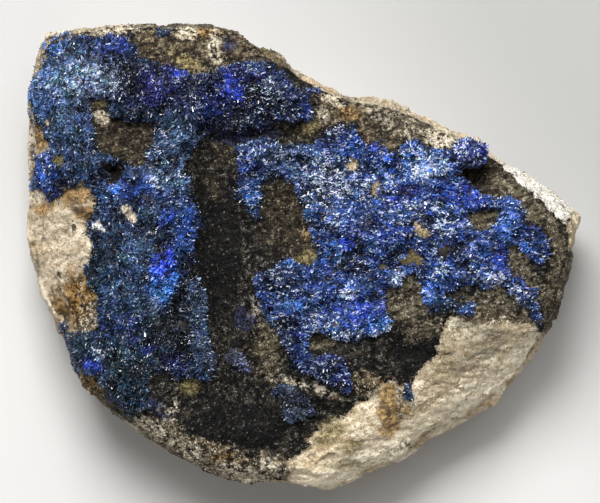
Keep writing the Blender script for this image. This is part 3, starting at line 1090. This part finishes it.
def scatterOn(bed, name, density, size, kinds, look, material, seed):
    piece = newPiece(name, bed.data)
    store(piece, "density", density)
    store(piece, "size", size)
    finishWith(piece, "NODES", node_group=scatterTree(crystalShapes, kinds, look, material, seed))
    spreadMap(piece)
    keepInBox(piece)
    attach(piece, "root")
    print(name, triangles(piece), "triangles")


def growCrystals(bed, name, reach, seed):
    places, edge = placesOf(bed), read(bed, "edge")
    west, east, south, north = reach
    inside = (places[:, 0] >= west) & (places[:, 0] < east) & (places[:, 1] >= south) & (places[:, 1] < north)
    steepest = np.where(onTheKnob(places), *crystalLook["steepest"])
    grown = inside & (read(bed, "bare") < 0.0) & (slopesOf(bed)[:, 2] > steepest) & (edge > 0.1)
    size = np.clip(0.95 + 0.5 * clumps(places, 3.0, 5.0), 0.6, 1.4) * (0.5 + 0.5 * edge)
    size = size * (crystalLook["patchSize"] if "patch" in name else 1.0)
    density = crystalLook["perSquare"] * grown
    scatterOn(bed, name, density, size, bladeKinds, crystalLook, crystalFinish, seed)


rockBody = bodyOf("matrix_rock")
crustEdges = []
crystalShapes = makeShapes()
crystalFinish = crystalMaterial()
bedFinish = bedMaterial()
growths = {  # the parts that a crust's crystals are split into, each from west to east and from south to north
    "linarite_crust_left": {
        "north": (-beyond, beyond, 22.0, beyond),
        "middle": (-beyond, beyond, 3.0, 22.0),
        "south": (-beyond, beyond, -beyond, 3.0),
    },
    "linarite_crust_right": {
        "west": (-beyond, 7.0, -beyond, beyond),
        "middle": (7.0, 19.0, -beyond, beyond),
        "east": (19.0, beyond, -beyond, beyond),
    },
}
for patch in ("valley", "foot", "rim", "break"):
    growths["linarite_patch_" + patch] = {"all": (-beyond, beyond, -beyond, beyond)}
for count, (nodeName, parts) in enumerate(growths.items()):
    bed = makeCrust(nodeName)
    bed.data.materials.append(bedFinish)
    for index, (part, reach) in enumerate(parts.items()):
        name = nodeName.replace("linarite_", "crystals_") + ("" if part == "all" else "_" + part)
        growCrystals(bed, name, reach, 100 * count + 20 * index + 11)
    keepInBox(bed)
    layOutBed(bed)
    pick(bed)
    bpy.ops.object.shade_smooth()
    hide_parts(nodeName)
    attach(bed, "root")
    print(nodeName, triangles(bed), "triangles")

gritLook = {
    "perSquare": 4.0,
    "onPale": 0.12,  # the share of it on the pale breaks
    "length": (0.2, 0.55),
    "width": (0.22, 0.6),
    "lean": 2.0,
    "comb": 0.0,
}

fringeLook = {
    "perSquare": 5.0,
    "reach": 1.3,  # mm from the crusts' edges to the last single crystals
    "lowest": 15.0,  # mm above the table
    "overgrown": 17.0,  # crystals on a square millimetre where the rock's rim is overgrown
    "length": (0.25, 0.6),
    "width": (0.45, 0.9),
    "lean": 1.4,
    "comb": 1.4,
}


def growOnRock():
    places, level = placesOf(rock), slopesOf(rock)[:, 2]
    uncovered = read(rock, "hidden") < 0.5
    free = uncovered & (level > 0.1)
    near = distancesTo(np.concatenate(crustEdges)[::3], places)
    fringe = np.clip(1 - near / fringeLook["reach"], 0, 1) ** 1.6 + 0.3 * np.clip(read(rock, "dust") + 0.4, 0, 1)
    clump = clumps(places, 1.6, 8.0)
    density = fringeLook["perSquare"] * fringe * free * np.clip(0.6 + 1.6 * clump, 0, 2)
    density = density * (places[:, 2] > fringeLook["lowest"])
    grownOver = read(rock, "overgrown") + clump * 1.4 > 0
    density = np.maximum(density, fringeLook["overgrown"] * (grownOver & (level > -0.2) & uncovered))
    markBlue(rock)
    store(rock, "ridge", np.where(grownOver, 0.6, 0.35))
    scatterOn(
        rock, "crystals_strewn_on_rock", density, np.full(len(places), 0.9), bladeKinds, fringeLook, crystalFinish,
        701,
    )
    amount = gritLook["perSquare"] * free * np.clip(0.8 + 1.2 * clump, 0.1, 1.6)
    amount = amount * np.where(read(rock, "pale") > 0, gritLook["onPale"], 1.0)
    size = np.clip(0.95 - 0.6 * clump, 0.5, 1.6)
    grit = rockMaterial("loose_grit", grit=True)
    scatterOn(rock, "rock_grit", amount, size, gritKinds, gritLook, grit, 801)
    for name in ("flow", "tint", "glint", "bare", "stone", "ridge"):
        rock.data.attributes.remove(rock.data.attributes[name])


growOnRock()
for piece in list(crystalShapes.objects):
    bpy.data.objects.remove(piece)
print("crystals and grit ready")

studio = {
    "viewWidth": 106.6,  # mm of the face plane across the picture
    "lens": 240.0,
    "sensor": 36.0,
    "aim": (-0.9, 1.2, 24.0),  # mm, on the face plane
    "softboxes": {  # where each stands, its distance and size in metres, its power in watts
        "key": ((-0.14, 0.62, 0.80), 0.75, 0.34, 7.8),
        "sky": ((0.05, 0.75, 0.85), 1.1, 1.3, 9.2),
        "low": ((0.25, -0.75, 0.60), 1.1, 0.9, 2.5),
    },
    "worldLight": 0.12,
    "floorSize": 8.0,  # m
    "floorTone": (206, 205, 203),
    "topFloorTone": (188, 187, 186),
    "farFloorTone": (162, 162, 160),
}


def addSoftbox(aim, towards, away, size, power):
    towards = Vector(towards).normalized()
    bpy.ops.object.light_add(type="AREA", location=aim + towards * away)
    lamp = bpy.context.object
    lamp.data.size = size
    lamp.data.energy = power
    lamp.rotation_mode = "QUATERNION"
    lamp.rotation_quaternion = towards.to_track_quat("Z", "Y")


def makeStudio():
    bpy.ops.mesh.primitive_plane_add(size=studio["floorSize"], location=(0, 0, 0))
    floor = bpy.context.object
    floor.name = "floor"
    material, shader, place = makeMaterial("pale_floor")
    across = place.add("ShaderNodeSeparateXYZ", {}, {0: place})
    colour = across.other("Y").rise(-0.03, 0.05).tones(studio["floorTone"], studio["topFloorTone"])
    colour = layered(colour, ((across * 0.8 + across.other("Y") * 0.6).rise(0.01, 0.06), 1, studio["farFloorTone"]))
    plug(shader, Base_Color=colour, Roughness=0.6)
    shader.inputs["Specular IOR Level"].default_value = 0.2
    floor.data.materials.append(material)
    aim = Vector(studio["aim"]) / 1000
    for towards, away, size, power in studio["softboxes"].values():
        addSoftbox(aim, towards, away, size, power)
    world = bpy.data.worlds.new("soft_room")
    world.use_nodes = True
    world.node_tree.nodes["Background"].inputs["Color"].default_value = (1, 1, 1, 1)
    world.node_tree.nodes["Background"].inputs["Strength"].default_value = studio["worldLight"]
    bpy.context.scene.world = world
    bpy.context.scene.view_settings.view_transform = "Standard"
    away = studio["viewWidth"] / 1000 * studio["lens"] / studio["sensor"]
    bpy.ops.object.camera_add(location=aim + Vector((0, 0, away)), rotation=(0, 0, 0))
    camera = bpy.context.object
    camera.data.lens = studio["lens"]
    camera.data.clip_start, camera.data.clip_end = 0.05, 20.0
    bpy.context.scene.camera = camera


leaveAll()
makeStudio()
print("studio ready")
